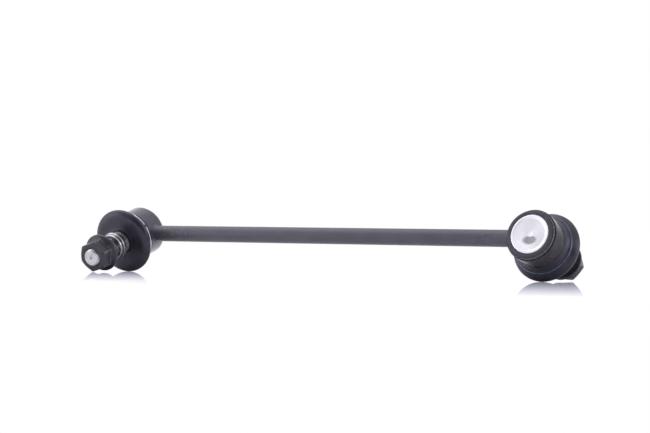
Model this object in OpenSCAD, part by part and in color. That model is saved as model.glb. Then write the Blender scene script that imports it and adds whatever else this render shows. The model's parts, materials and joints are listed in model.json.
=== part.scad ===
// Stabilizer link: a straight rod with a sealed ball joint welded on each end.
// It lies on its boots and nuts, as it does on a bench: +X runs along the rod, +Z is up,
// and the origin is on the bench below the middle of the rod.
// Each ball joint is drawn in its own frame first: the ball centre at zero and the stud along +Z.

/* [Rod] */
// Distance between the two ball centres
link_l = 310; // [240:5:420]
// Diameter of the rod
rod_d = 11; // [8:0.5:13]
// Height of the weld fillet at each end of the rod
weld_h = 0.9; // [0.6:0.1:2]
// Length of the weld fillet along the rod
weld_l = 3.4; // [1:0.1:5]
// Thickness of the weld fillet's edge, at the barrel
weld_edge = 0.4; // [0.2:0.1:1]
// Barrel left bare beside the rod, for the weld
weld_land = 1.7; // [1:0.1:3]

/* [Ball and seats] */
// Diameter of the ball
ball_d = 15.5; // [14:0.5:18]
// Diameter of the flat on the back of the ball
ball_flat_d = 9; // [7:0.5:10]
// Wall of the two plastic seats at the ball's widest line
seat_t = 3.45; // [2.5:0.05:4]
// Depth of the front seat, from the ball centre to the housing's shoulder
front_seat_l = 4.8; // [4.4:0.1:6]
// Gap between the two seats, taken up as they wear
seat_split = 0.3; // [0.1:0.1:0.6]
// Number of grease slots in the rear seat
slot_n = 4; // [3:1:8]
// Width of a grease slot
slot_w = 1.6; // [1:0.1:2.4]
// Thickness of the disc spring
spring_t = 0.8; // [0.5:0.1:1]
// Cone height that the disc spring keeps when fitted
spring_cone = 0.4; // [0.2:0.1:0.8]
// Swing of the stud in each of two directions
swing = 16; // [10:1:18]

/* [Housing] */
// Ledge that the cap rests on, outside the seats
cap_ledge = 2.55; // [2:0.05:3.5]
// Wall of the housing outside the cap
crimp_wall = 3.2; // [2.4:0.1:4]
// How far the crimped rim reaches over the cap
crimp_cover = 0.9; // [0.4:0.05:1.2]
// Thickness of the crimped rim over the cap
crimp_t = 0.8; // [0.5:0.1:1.2]
// Length of the crimped rim, from the barrel to its back
crimp_l = 2.9; // [2.2:0.1:3.6]
// How far the barrel stands out past the crimped rim
crimp_step = 0.7; // [0.4:0.1:1.2]
// Chamfer at both edges of the barrel
barrel_chamfer = 0.4; // [0.2:0.1:0.8]
// Length of the nose that holds the boot
nose_l = 6.3; // [5:0.1:7.5]
// Wall of the nose at the floor of its groove
nose_wall = 3.8; // [2.8:0.1:5]
// Height of the lip at the end of the nose
nose_lip_h = 1.2; // [0.8:0.1:1.6]
// Length of the lip at the end of the nose
nose_lip_l = 1.5; // [1:0.1:2]

/* [Cap] */
// Thickness of the cap's edge, under the crimped rim
cap_t = 1.25; // [1:0.05:2]
// Height of the raised ring on the cap
cap_ring_h = 0.6; // [0.3:0.1:1]
// Width of the raised ring on the cap
cap_ring_w = 1.5; // [1:0.1:2.5]
// Width of the flat step between the ring and the dish
cap_step_w = 1; // [0.5:0.1:2]
// Depth of the dish at its centre, below the cap's edge
cap_dish = 0.5; // [0.3:0.1:0.8]

/* [Stud] */
// Diameter of the neck beside the ball
neck_d = 10; // [8:0.2:11]
// Length of the neck past the end of the nose
neck_free_l = 3; // [2.5:0.1:6]
// Length of the cone from the neck up to the boot seat
neck_cone_l = 2.8; // [2:0.1:4]
// Diameter of the seat that the boot's neck grips
boot_seat_d = 12.8; // [12:0.1:14]
// Length of the boot seat
boot_seat_l = 9.7; // [9:0.1:12]
// Diameter of the collar at its back
collar_d = 19.6; // [18:0.2:22]
// Diameter of the collar's front face, which a bracket rests on
collar_face_d = 17; // [15.6:0.2:17.8]
// Thickness of the collar
collar_t = 4; // [3:0.2:6]
// Chamfer on the back edge of the collar
collar_chamfer = 0.4; // [0.2:0.1:0.8]
// Diameter of the plain pilot that centres a bracket's hole
pilot_d = 12.5; // [12.2:0.1:12.8]
// Length of the pilot
pilot_l = 4; // [2:0.5:6]
// Outside diameter of the thread
thread_d = 11.74; // [11.6:0.02:11.84]
// Length of the thread
thread_l = 19.5; // [16:0.5:30]
// Chamfer at the end of the thread
thread_chamfer = 0.7; // [0.5:0.1:1.5]
// Diameter of the centre mark in the end of the stud
centre_d = 2.4; // [1.5:0.1:3]
// Depth of the centre mark
centre_l = 1.2; // [0.6:0.1:2]

/* [Boot] */
// Rubber under the wire clip
bead_t = 3.2; // [2.4:0.1:4]
// Wall of the boot
boot_t = 1.6; // [1.2:0.1:2]
// How far the rim stands out past the clip's seat
boot_flare = 4; // [3:0.1:6]
// Rounding of the rim
rim_round = 2.4; // [2:0.1:3]
// Distance from the end of the nose to the middle of the rim
rim_reach = 4.1; // [3.6:0.1:6]
// Height of the crown between rim and neck, above the middle of the rim
crown_h = 3.6; // [3:0.1:4.4]
// Rounding of the lip round the neck
fold_round = 1.3; // [1:0.1:1.6]
// How far the lip stands out from the neck
fold_w = 4.3; // [3.8:0.1:5.2]
// Rubber on the boot's neck, under the neck clip
neck_tube_t = 0.7; // [0.5:0.1:1]

/* [Clips] */
// Wire of the clip round the housing's nose
clip_wire_d = 0.9; // [0.7:0.1:1.4]
// Wire of the clip round the boot's neck
neck_wire_d = 1.2; // [0.9:0.1:1.4]
// Turns of wire in the neck clip
neck_turns = 6; // [5:1:6]
// Share of a wire's width from one turn to the next
neck_pitch = 0.92; // [0.85:0.01:0.96]

/* [Nut] */
// Width across the nut's flats
nut_af = 19; // [16:0.5:21]
// Height of the nut
nut_h = 12; // [9:0.5:14]
// Diameter of the nut's flange
flange_d = 26; // [23:0.5:30]
// Thickness of the flange at its edge
flange_edge = 1.6; // [1:0.1:2.2]
// Slope of the flange's upper side
flange_slope = 30; // [15:1:35]
// Rounding cut off the edges of the flange
flange_chamfer = 0.4; // [0.2:0.1:0.6]
// Slope of the chamfer on the hexagon's top
hex_chamfer = 30; // [20:1:40]
// Countersink at both ends of the nut's thread
nut_sink = 0.6; // [0.3:0.1:1]
// Thread left free between the collar and the nut
nut_gap = 10; // [8:0.5:14]
// Turn of the left nut's hexagon, away from one corner down
left_nut_turn = -14; // [-29:1:29]
// Turn of the right nut's hexagon, away from one corner down
right_nut_turn = 35; // [0:1:59]

/* [Clearances] */
// Running gap between ball and seats
ball_gap = 0.05; // [0.02:0.01:0.1]
// Gap round the seats, the cap and the disc spring in the housing
fit_gap = 0.05; // [0.02:0.01:0.1]
// Gap between rubber and the pieces that it grips
rubber_gap = 0.1; // [0.05:0.05:0.2]
// Gap between a clip and the rubber below it
clip_gap = 0.05; // [0.02:0.01:0.1]
// Room between the cap and the ball's flat at full swing
cap_room = 0.2; // [0.1:0.05:0.5]
// Room left round the neck at full swing
swing_gap = 0.5; // [0.4:0.1:0.8]
// Gap between the nut's bore and the thread
thread_gap = 0.08; // [0.04:0.02:0.1]

/* [Hidden] */
$fn = 96;

// Ball, seats and the cone that the neck sweeps at the corners of both swings
ball_r = ball_d / 2;
seat_r = ball_r + seat_t;
bore_r = seat_r + fit_gap;
ball_back = sqrt(ball_r * ball_r - ball_flat_d * ball_flat_d / 4);
sweep = acos(cos(swing) * cos(swing));
ball_reach = ball_r * cos(max(0, asin(ball_flat_d / ball_d) - sweep));
function sweep_r(z) = z * tan(sweep) + neck_d / 2 / cos(sweep) + swing_gap;

// Cap and crimped rim, along the ball joint's axis behind the ball
ledge_z = -ball_reach - cap_room;
rear_seat_l = -ledge_z - spring_t - spring_cone;
cap_edge_z = ledge_z - cap_t;
crimp_z = cap_edge_z - crimp_t;
cap_r = bore_r + cap_ledge;
cap_ring_r = cap_r - crimp_cover - fit_gap;
cap_dish_r = cap_ring_r - cap_ring_w - cap_step_w;
barrel_r = cap_r + crimp_wall;
crimp_r = barrel_r - crimp_step;
barrel_back_z = crimp_z + crimp_l;

// Barrel and nose, in front of the ball
barrel_z = rod_d / 2 + weld_land;
nose_z = barrel_z + nose_l;
mouth_r = sweep_r(nose_z);
groove_r = mouth_r + nose_wall;
nose_r = groove_r + nose_lip_h;
groove_end_z = nose_z - nose_lip_l;

// Stud stations
neck_z = nose_z + neck_free_l;
boot_seat_z = neck_z + neck_cone_l;
collar_z = boot_seat_z + boot_seat_l;
collar_front_z = collar_z + collar_t;
thread_z = collar_front_z + pilot_l;
stud_end_z = thread_z + thread_l;

// Boot and clips
bead_r = groove_r + rubber_gap;
clip_floor_r = bead_r + bead_t;
clip_r = clip_floor_r + clip_gap + clip_wire_d / 2;
clip_z = groove_end_z;
rim_r = clip_floor_r + boot_flare;
rim_z = nose_z + rim_reach;
rim_c = [rim_r - rim_round, rim_z];
crown_z = rim_z + crown_h;
neck_bore_r = boot_seat_d / 2 + rubber_gap;
neck_tube_r = neck_bore_r + neck_tube_t;
fold_r = neck_tube_r + fold_w;
neck_wire_r = neck_tube_r + clip_gap + neck_wire_d / 2;
neck_clip_pitch = neck_wire_d * neck_pitch;
boot_end_z = collar_z - rubber_gap;
neck_clip_z = boot_end_z - neck_wire_d / 2 - (neck_turns - 1) * neck_clip_pitch - rubber_gap;
fold_c = [fold_r - fold_round, neck_clip_z - neck_wire_d / 2 - rubber_gap - fold_round];

// Nut
nut_z = collar_front_z + nut_gap;
nut_top_z = nut_z + nut_h;
hex_r = nut_af / 2 / cos(30);
hex_edge_z = nut_top_z - (hex_r - nut_af / 2) * tan(hex_chamfer);
nut_bore_r = thread_d / 2 + thread_gap;

// The link lies on the rims of the boots and on the nuts' lowest corner, which sets the studs' droop.
nut_low_r = hex_r * cos(min(abs(left_nut_turn), 30 - abs(30 - right_nut_turn)));
lie_run = hex_edge_z - rim_c[1];
lie_rise = rim_c[0] - nut_low_r;
droop = atan2(lie_rise, lie_run) + asin(rim_round / norm([lie_run, lie_rise]));
ball_h = rim_c[1] * sin(droop) + rim_c[0] * cos(droop) + rim_round;

// Points of an arc round a centre, from one angle to another
function arc(c, r, from, to, steps = 8) =
    [for (i = [0:steps]) let (a = from + (to - from) * i / steps) c + r * [cos(a), sin(a)]];

// Points of a smooth curve from a to b that leaves along u and arrives along v
function curve(a, u, v, b, steps = 8) =
    [for (i = [0:steps]) let (t = i / steps, s = 1 - t)
        s * s * s * a + 3 * s * s * t * (a + u) + 3 * s * t * t * (b - v) + t * t * t * b];

// Puts a ball joint's piece at the right end, or half a turn round for the left end.
module right_end() {
    translate([link_l / 2, 0, ball_h]) rotate([-90 - droop, 0, 0]) children();
}
module left_end() {
    rotate([0, 0, 180]) right_end() children();
}

// Straight bar with a weld fillet at each end, cut to saddle onto the two barrels
module rod() {
    half_l = link_l / 2;
    foot = half_l - barrel_r - weld_edge;
    fillet = curve([rod_d / 2 + weld_h, foot], [-weld_h * 0.8, -weld_l * 0.1],
        [-weld_h * 0.1, -weld_l * 0.7], [rod_d / 2, foot - weld_l]);
    half = concat([[0, half_l], [rod_d / 2 + weld_h, half_l]], fillet);
    mirrored = [for (i = [len(half) - 1:-1:0]) [half[i][0], -half[i][1]]];
    color([0.10, 0.10, 0.11]) difference() {
        translate([0, 0, ball_h]) rotate([0, 90, 0]) rotate_extrude() polygon(concat(half, mirrored));
        right_end() cylinder(r = barrel_r, h = 4 * barrel_r, center = true);
        left_end() cylinder(r = barrel_r, h = 4 * barrel_r, center = true);
    }
}

// Forged cup: crimped rim at the back, stepped up to a smooth barrel, then a grooved nose and a flared mouth
module housing() {
    rim_in = cap_r - crimp_cover;
    color([0.13, 0.13, 0.14]) rotate_extrude() polygon(concat(
        [[rim_in, cap_edge_z], [rim_in, crimp_z]],
        curve([rim_in + crimp_t / 2, crimp_z], crimp_l * [0.75, 0], crimp_l * [0.05, 0.5],
            [crimp_r, barrel_back_z]),
        [[barrel_r - barrel_chamfer, barrel_back_z], [barrel_r, barrel_back_z + barrel_chamfer],
         [barrel_r, barrel_z - barrel_chamfer], [barrel_r - barrel_chamfer, barrel_z], [groove_r, barrel_z],
         [groove_r, groove_end_z]],
        arc([nose_r - nose_lip_l / 2, groove_end_z + nose_lip_l / 2], nose_lip_l / 2, -90, 90),
        [[mouth_r, nose_z], [sweep_r(front_seat_l), front_seat_l], [bore_r, front_seat_l], [bore_r, ledge_z],
         [cap_r + fit_gap, ledge_z], [cap_r + fit_gap, cap_edge_z]]
    ));
}

// Pressed closing cap: flat edge, raised ring, a step and a shallow conical dish
module cap() {
    ring_top = cap_edge_z - cap_ring_h;
    color([0.78, 0.78, 0.80]) rotate_extrude() polygon(concat(
        [[0, ledge_z], [cap_r, ledge_z], [cap_r, cap_edge_z], [cap_ring_r, cap_edge_z]],
        arc([cap_ring_r - cap_ring_h, cap_edge_z], cap_ring_h, 0, -90, 5),
        [[cap_ring_r - cap_ring_w + cap_ring_h, ring_top], [cap_ring_r - cap_ring_w, cap_edge_z],
         [cap_dish_r, cap_edge_z], [0, cap_edge_z + cap_dish]]
    ));
}

// Coned washer that presses the rear seat onto the ball
module disc_spring() {
    inner_r = sqrt(pow(ball_r + ball_gap, 2) - pow(rear_seat_l, 2)) + spring_t;
    outer_r = seat_r - fit_gap;
    color([0.35, 0.36, 0.40]) rotate_extrude() polygon([
        [inner_r, -rear_seat_l], [outer_r, -rear_seat_l - spring_cone],
        [outer_r, ledge_z], [inner_r, -rear_seat_l - spring_t]
    ]);
}

// Plastic cup behind the ball, with grease slots in its bowl
module rear_seat() {
    color([0.90, 0.89, 0.84]) difference() {
        translate([0, 0, -rear_seat_l]) cylinder(r = seat_r, h = rear_seat_l - seat_split / 2);
        sphere(r = ball_r + ball_gap);
        for (i = [0:slot_n - 1])
            rotate([0, 0, i * 360 / slot_n])
                translate([0, -slot_w / 2, -rear_seat_l / 2])
                    cube([ball_r + seat_t / 3, slot_w, rear_seat_l]);
    }
}

// Plastic ring in front of the ball, flared for the neck's swing
module front_seat() {
    color([0.90, 0.89, 0.84]) difference() {
        translate([0, 0, seat_split / 2]) cylinder(r = seat_r, h = front_seat_l - seat_split / 2);
        sphere(r = ball_r + ball_gap);
        rotate_extrude() polygon([
            [0, 0], [sweep_r(0), 0], [sweep_r(2 * front_seat_l), 2 * front_seat_l], [0, 2 * front_seat_l]
        ]);
    }
}

// Ball, neck, boot seat, collar, pilot and thread in one turned piece
module ball_stud() {
    color([0.74, 0.74, 0.76]) union() {
        intersection() {
            sphere(r = ball_r);
            translate([0, 0, -ball_back]) cylinder(r = ball_d, h = 2 * ball_d);
        }
        rotate_extrude() polygon([
            [0, 0], [neck_d / 2, 0], [neck_d / 2, neck_z],
            [boot_seat_d / 2, boot_seat_z], [boot_seat_d / 2, collar_z],
            [collar_d / 2 - collar_chamfer, collar_z], [collar_d / 2, collar_z + collar_chamfer],
            [collar_face_d / 2, collar_front_z], [pilot_d / 2, collar_front_z],
            [pilot_d / 2, thread_z], [thread_d / 2, thread_z], [thread_d / 2, stud_end_z - thread_chamfer],
            [thread_d / 2 - thread_chamfer, stud_end_z], [centre_d / 2, stud_end_z],
            [0, stud_end_z - centre_l]
        ]);
    }
}

// Moulded rubber bell: bead in the nose's groove, flank, round rim, domed front, lip and neck
module boot() {
    back_z = barrel_z + rubber_gap;
    back_r = min(barrel_r, clip_floor_r - clip_wire_d / 2);
    notch = clip_wire_d / 2 + clip_gap;
    lip_r = nose_r + rubber_gap;
    lip_z = groove_end_z - rubber_gap;
    rim_in = rim_round - boot_t;
    inside_z = crown_z - boot_t;
    crown_r = (fold_r + rim_c[0]) / 2;
    shoulder = [cos(45), sin(45)];
    bore_z = boot_seat_z + neck_tube_t;
    under = fold_c - [0, fold_round];
    outer = concat(
        [[bead_r, back_z]],
        curve([back_r, back_z], (clip_z - back_z) * [0, 0.4], notch * [1, 1],
            [clip_r - notch / 4, clip_z - notch], 5),
        arc([clip_r, clip_z], notch, -90, -270, 8),
        curve([clip_r + notch / 2, clip_z + notch], [0, rim_reach / 4], rim_round * [0.7, 1],
            rim_c + rim_round * [cos(-35), sin(-35)]),
        arc(rim_c, rim_round, -30, 40, 7),
        curve(rim_c + rim_round * shoulder, 0.8 * rim_round * [-shoulder[0], shoulder[1]], [-rim_round, 0],
            [crown_r, crown_z]),
        curve([crown_r - boot_t / 4, crown_z], [-boot_t, 0], fold_round * [-0.5, 0.4],
            fold_c + fold_round * [cos(65), sin(65)], 6),
        arc(fold_c, fold_round, 60, 180, 6),
        [[neck_tube_r, fold_c[1]], [neck_tube_r, boot_end_z], [neck_bore_r, boot_end_z]]
    );
    inner = concat(
        curve([neck_bore_r, bore_z], [0, -neck_tube_t], [neck_tube_t, 0],
            [neck_tube_r + neck_tube_t, under[1]], 4),
        curve(under, [fold_round, 0], [rim_round, 0], [crown_r, inside_z]),
        curve([crown_r + boot_t / 4, inside_z], [rim_round, 0], boot_t / 2 * [shoulder[0], -shoulder[1]],
            rim_c + rim_in * shoulder),
        arc(rim_c, rim_in, 40, -45, 6),
        [[clip_floor_r, nose_z + rubber_gap], [lip_r, nose_z + rubber_gap], [lip_r, lip_z], [bead_r, lip_z]]
    );
    color([0.05, 0.05, 0.06]) rotate_extrude() polygon(concat(outer, inner));
}

// Round wire ring that clamps the boot's bead into the nose's groove
module boot_clip() {
    color([0.25, 0.27, 0.33]) translate([0, 0, clip_z]) rotate_extrude()
        translate([clip_r, 0]) circle(d = clip_wire_d);
}

// Wound ring that clamps the boot's neck onto the stud
module neck_clip() {
    color([0.45, 0.45, 0.47]) translate([0, 0, neck_clip_z]) rotate_extrude()
        for (i = [0:neck_turns - 1])
            translate([neck_wire_r, i * neck_clip_pitch]) circle(d = neck_wire_d);
}

// Flange nut: chamfered hexagon with one corner down, a coned flange and a bored thread
module nut() {
    cone_h = (flange_d / 2 - nut_af / 2) * tan(flange_slope);
    top_r = nut_af / 2;
    sink_r = nut_bore_r + nut_sink;
    color([0.09, 0.09, 0.10]) difference() {
        union() {
            intersection() {
                translate([0, 0, nut_z]) rotate([0, 0, 90]) cylinder(r = hex_r, h = nut_h, $fn = 6);
                rotate_extrude() polygon([
                    [0, nut_z], [flange_d, nut_z],
                    [flange_d, nut_top_z - (flange_d - top_r) * tan(hex_chamfer)],
                    [top_r, nut_top_z], [0, nut_top_z]
                ]);
            }
            rotate_extrude() polygon([
                [0, nut_z], [flange_d / 2 - flange_chamfer, nut_z], [flange_d / 2, nut_z + flange_chamfer],
                [flange_d / 2, nut_z + flange_edge], [nut_af / 2, nut_z + flange_edge + cone_h],
                [0, nut_z + flange_edge + cone_h]
            ]);
        }
        translate([0, 0, nut_z - nut_h]) cylinder(r = nut_bore_r, h = 3 * nut_h);
        rotate_extrude() polygon([[0, nut_z - nut_sink], [sink_r + nut_sink, nut_z - nut_sink],
            [nut_bore_r, nut_z + nut_sink], [0, nut_z + nut_sink]]);
        rotate_extrude() polygon([[0, nut_top_z - nut_sink], [nut_bore_r, nut_top_z - nut_sink],
            [sink_r + nut_sink, nut_top_z + nut_sink], [0, nut_top_z + nut_sink]]);
    }
}

rod();
left_end() housing();  // left_housing
left_end() cap();  // left_cap
left_end() disc_spring();  // left_disc_spring
left_end() rear_seat();  // left_rear_seat
left_end() front_seat();  // left_front_seat
left_end() ball_stud();  // left_ball_stud
left_end() boot();  // left_boot
left_end() boot_clip();  // left_boot_clip
left_end() neck_clip();  // left_neck_clip
left_end() rotate([0, 0, left_nut_turn]) nut();  // left_nut
right_end() housing();  // right_housing
right_end() cap();  // right_cap
right_end() disc_spring();  // right_disc_spring
right_end() rear_seat();  // right_rear_seat
right_end() front_seat();  // right_front_seat
right_end() ball_stud();  // right_ball_stud
right_end() boot();  // right_boot
right_end() boot_clip();  // right_boot_clip
right_end() neck_clip();  // right_neck_clip
right_end() rotate([0, 0, right_nut_turn]) nut();  // right_nut
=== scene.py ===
"""Looks of a stabilizer link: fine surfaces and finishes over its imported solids, on a white studio floor.

Lengths in the classes are millimetres. A ball joint's pieces are worked out in the joint's own frame, with
the ball centre at zero and the stud along +Z, and a LinkEnd puts them in the row frame, in metres.
"""

import json
import logging
import math
from dataclasses import dataclass
from enum import Enum
from typing import Optional, Union

import bpy
import numpy as np
from mathutils import Matrix

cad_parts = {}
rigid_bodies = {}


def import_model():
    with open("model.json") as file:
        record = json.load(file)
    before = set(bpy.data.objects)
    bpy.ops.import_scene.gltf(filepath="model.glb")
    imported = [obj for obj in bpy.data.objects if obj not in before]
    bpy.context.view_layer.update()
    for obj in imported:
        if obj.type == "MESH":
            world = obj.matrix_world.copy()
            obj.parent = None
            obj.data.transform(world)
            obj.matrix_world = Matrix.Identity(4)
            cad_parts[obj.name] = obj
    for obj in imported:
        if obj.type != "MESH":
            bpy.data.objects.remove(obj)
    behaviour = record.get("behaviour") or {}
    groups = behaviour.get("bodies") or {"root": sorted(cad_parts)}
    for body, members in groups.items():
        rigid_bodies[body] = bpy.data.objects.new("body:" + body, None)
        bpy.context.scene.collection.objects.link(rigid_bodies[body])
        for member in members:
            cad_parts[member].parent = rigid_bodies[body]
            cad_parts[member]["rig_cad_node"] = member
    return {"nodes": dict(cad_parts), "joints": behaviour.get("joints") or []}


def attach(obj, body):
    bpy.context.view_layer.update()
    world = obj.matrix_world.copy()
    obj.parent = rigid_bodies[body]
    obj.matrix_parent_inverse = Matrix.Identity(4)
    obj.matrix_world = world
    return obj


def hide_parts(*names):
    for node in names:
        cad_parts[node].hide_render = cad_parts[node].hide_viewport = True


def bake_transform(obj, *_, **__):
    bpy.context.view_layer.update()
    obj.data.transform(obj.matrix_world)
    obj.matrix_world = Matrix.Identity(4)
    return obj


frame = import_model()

LOG = logging.getLogger("stabilizer_link")
Array = np.ndarray
Point = Union[Array, tuple[float, float]]
Rgb = tuple[float, float, float]

MM = 0.001  # a millimetre in metres
TURN = 2 * math.pi
LINK = "link"  # the body of the rod and both housings
BARREL = 17.0  # radius of a housing's barrel, which the rod saddles onto and the boot lies beside
FIT = 0.1  # clearance between pieces that fit together
SMALL_CUT = 0.7  # roundings below this are worn
VIOLET: Rgb = (0.86, 0.83, 1.0)  # cast of the gloss on black surfaces
WHITE: Rgb = (1.0, 1.0, 1.0)


class Side(Enum):
    """The two ends of the link, as the photograph shows them."""

    LEFT = "left"
    RIGHT = "right"


@dataclass(frozen=True)
class LinkEnd:
    """One end of the link: the frame of its ball joint.

    Fields:
        side: which end it is.
        centre: the ball centre in the row frame, in metres.
        axis: the stud's direction, a unit vector.
    """

    side: Side
    centre: Array
    axis: Array

    @classmethod
    def of(cls, side: Side) -> "LinkEnd":
        """Reads the end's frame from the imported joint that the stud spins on.

        Args:
            side: which end to read.

        Returns:
            The end with its ball centre and stud axis.
        """
        joint = next(j for j in frame["joints"] if j["name"] == f"{side.value}_stud_spin")
        axis = np.array(joint["axis"], float)
        return cls(side, np.array(joint["pos_m"], float), axis / np.linalg.norm(axis))

    @property
    def turn(self) -> Array:
        """Rows are the joint's own X (outwards along the rod), Y (downwards) and Z (along the stud)."""
        out = np.array([math.copysign(1.0, self.centre[0]), 0.0, 0.0])
        return np.stack([out, np.cross(self.axis, out), self.axis])

    def place(self, points: Array) -> Array:
        """Puts points of the joint's frame, in millimetres, into the row frame, in metres."""
        return self.centre + MM * points @ self.turn

    def on_axis(self, z: float) -> tuple[float, ...]:
        """The row-frame point that lies z millimetres along the stud."""
        return tuple(self.place(np.array([0.0, 0.0, z])))

    def name(self, part: str) -> str:
        """The name of a node, body or piece of this end."""
        return f"{self.side.value}_{part}"


def arc(centre: Point, radius: float, start: float, stop: float, steps: int) -> Array:
    """Points of a circular arc: the centre plus the radius along an angle that runs evenly.

    Args:
        centre: the arc's centre.
        radius: its radius.
        start: first angle in degrees.
        stop: last angle in degrees.
        steps: how many spans it has.

    Returns:
        An array of steps + 1 points.
    """
    a = np.radians(np.linspace(start, stop, steps + 1))
    return np.array(centre) + radius * np.stack([np.cos(a), np.sin(a)], -1)


def curve(a: Point, leave: Point, arrive: Point, b: Point, steps: int = 20) -> Array:
    """Points of a cubic from a to b that leaves along one vector and arrives along another.

    Args:
        a: first point.
        leave: from the first point to the second control point.
        arrive: from the third control point to the last point.
        b: last point.
        steps: how many spans it has.

    Returns:
        An array of steps + 1 points.
    """
    t = np.linspace(0.0, 1.0, steps + 1)[:, None]
    s = 1.0 - t
    a, leave, arrive, b = (np.array(v, float) for v in (a, leave, arrive, b))
    return s**3 * a + 3 * s * s * t * (a + leave) + 3 * s * t * t * (b - arrive) + t**3 * b


def joined(*runs: Point) -> Array:
    """One path from several runs of points, without points that repeat.

    Args:
        runs: points or arrays of points, in order.

    Returns:
        The path as an array of points.
    """
    path = np.concatenate([np.atleast_2d(np.array(run, float)) for run in runs])
    return path[np.r_[True, np.linalg.norm(np.diff(path, axis=0), axis=1) > 1e-3]]


def soften(corners: Array, cuts: Array, closed: bool, steps: int = 6) -> tuple[Array, Array]:
    """Rounds the corners of a profile.

    A corner P becomes the parabola (1-t)^2 A + 2t(1-t) P + t^2 B, whose ends A and B lie one cut from P along
    its two sides. One more point lies a third of a cut further out on either side, so that flat runs keep
    flat normals.

    Args:
        corners: the profile's corners, shape (..., n, 2).
        cuts: how much is cut at each corner, n values.
        closed: whether the last corner joins the first. An open profile keeps its two end points.
        steps: spans of each rounding.

    Returns:
        The rounded profile, shape (..., m, 2), and m weights that are 1 in the middle of each small rounding.
    """
    p = np.array(corners, float)
    cut = np.array(cuts, float)[:, None]
    before, after = np.roll(p, 1, -2) - p, np.roll(p, -1, -2) - p
    before /= np.linalg.norm(before, axis=-1, keepdims=True) + 1e-9
    after /= np.linalg.norm(after, axis=-1, keepdims=True) + 1e-9
    t = np.linspace(0.0, 1.0, steps + 1)[:, None]
    a, b = p + cut * before, p + cut * after
    bow = (1 - t) ** 2 * a[..., None, :] + 2 * t * (1 - t) * p[..., None, :] + t * t * b[..., None, :]
    far = 1.33 * cut
    block = np.concatenate([(p + far * before)[..., None, :], bow, (p + far * after)[..., None, :]], -2)
    line = block.reshape(*p.shape[:-2], -1, 2)
    weight = (np.pad(4 * t[:, 0] * (1 - t[:, 0]), 1) * (cut < SMALL_CUT)).reshape(-1)
    if closed:
        return line, weight
    kept = slice(steps + 2, -(steps + 2))
    return line[..., kept, :], weight[kept]


def angles(count: int) -> Array:
    """Even angles of one full turn, in radians, without the last."""
    return np.linspace(0.0, TURN, count, endpoint=False)


def spin(profile: Array, around: Array) -> Array:
    """A surface of revolution: (r cos a, r sin a, z) for each profile point (r, z) and angle a.

    Args:
        profile: points (n, 2), or a profile of its own for each angle, (len(around), n, 2).
        around: angles in radians.

    Returns:
        A grid (n, len(around), 3).
    """
    rz = profile if profile.ndim == 3 else np.broadcast_to(profile, (len(around), *profile.shape))
    r, z = np.moveaxis(np.swapaxes(rz, 0, 1), -1, 0)
    return np.stack([r * np.cos(around), r * np.sin(around), z], -1)


def tube(path: Array, radius: Array, across: Array, up: Array, sides: int) -> Array:
    """A round section carried along a path: path + radius (cos a across + sin a up).

    Args:
        path: the middle line, (n, 3).
        radius: the section's radius at each point, (n,).
        across: unit vectors square to the path, (n, 3).
        up: unit vectors square to both, (n, 3).
        sides: points round the section.

    Returns:
        A grid (n, sides, 3).
    """
    a = angles(sides)[None, :, None]
    ring = np.cos(a) * across[:, None, :] + np.sin(a) * up[:, None, :]
    return path[:, None, :] + radius[:, None, None] * ring


def round_ends(count: int, length: float, radius: float) -> Array:
    """Shares of a wire's radius along its length that close both ends like half balls.

    The share at a distance d from the nearer end is sqrt(1 - (1 - d / radius)^2), and 1 past the radius.

    Args:
        count: points along the wire.
        length: the wire's length.
        radius: the wire's radius.

    Returns:
        One share for each point.
    """
    d = np.linspace(0.0, length, count)
    near = np.clip(np.minimum(d, length - d) / radius, 0.02, 1.0)
    return np.sqrt(1 - (1 - near) ** 2)


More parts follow.
